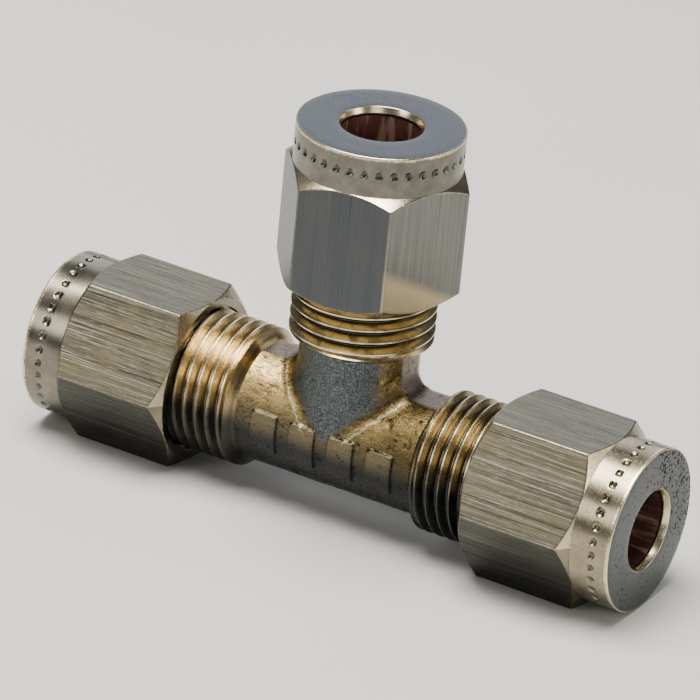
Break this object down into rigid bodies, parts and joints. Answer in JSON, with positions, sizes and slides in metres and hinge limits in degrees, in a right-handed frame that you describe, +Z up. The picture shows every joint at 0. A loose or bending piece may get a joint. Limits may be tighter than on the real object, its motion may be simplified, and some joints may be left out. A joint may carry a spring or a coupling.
{
  "type": "compression fitting",
  "caption": "Brass equal tee compression fitting: a forged body with a threaded port at each end, a hexagon compression nut and an olive on each port to grip and seal a tube.",
  "frame": {"origin": "on the surface that the fitting lies on, straight below the crossing of its two axes, in the middle of the underside of the bounding box", "axes": "+X along the run, towards the right nut; +Y to the back; +Z up, along the branch"},
  "size_m": [0.0824, 0.0238, 0.0507],
  "materials": {
    "forged_brass": "blasted forging with turned threads",
    "nut_brass": "drawn hexagon bar, satin, with a bright turned collar",
    "olive_brass": "turned, bright"
  },
  "bodies": {
    "tee_body": {"tee_body": "forged_brass"},
    "left_olive": {"left_olive": "olive_brass"},
    "left_nut": {"left_nut": "nut_brass"},
    "right_olive": {"right_olive": "olive_brass"},
    "right_nut": {"right_nut": "nut_brass"},
    "branch_olive": {"branch_olive": "olive_brass"},
    "branch_nut": {"branch_nut": "nut_brass"}
  },
  "joints": [
    {"name": "left_screw_travel", "type": "slide", "parent": "tee_body", "child": "left_olive", "axis": [-1, 0, 0], "range_m": [-0.00079, 0.00714]},
    {"name": "left_nut_turn", "type": "hinge", "parent": "left_olive", "child": "left_nut", "pos_m": [0, 0, 0.01032], "axis": [-1, 0, 0], "range_deg": [-180, 1620]},
    {"name": "right_screw_travel", "type": "slide", "parent": "tee_body", "child": "right_olive", "axis": [1, 0, 0], "range_m": [-0.00079, 0.00714]},
    {"name": "right_nut_turn", "type": "hinge", "parent": "right_olive", "child": "right_nut", "pos_m": [0, 0, 0.01032], "axis": [1, 0, 0], "range_deg": [-180, 1620]},
    {"name": "branch_screw_travel", "type": "slide", "parent": "tee_body", "child": "branch_olive", "axis": [0, 0, 1], "range_m": [0, 0.00794]},
    {"name": "branch_nut_turn", "type": "hinge", "parent": "branch_olive", "child": "branch_nut", "pos_m": [0, 0, 0.01032], "axis": [0, 0, 1], "range_deg": [0, 1800]}
  ],
  "couplings": [
    {"joint": "left_screw_travel", "follows": "left_nut_turn", "m_per_rad": 0.00025266},
    {"joint": "right_screw_travel", "follows": "right_nut_turn", "m_per_rad": 0.00025266},
    {"joint": "branch_screw_travel", "follows": "branch_nut_turn", "m_per_rad": 0.00025266}
  ]
}
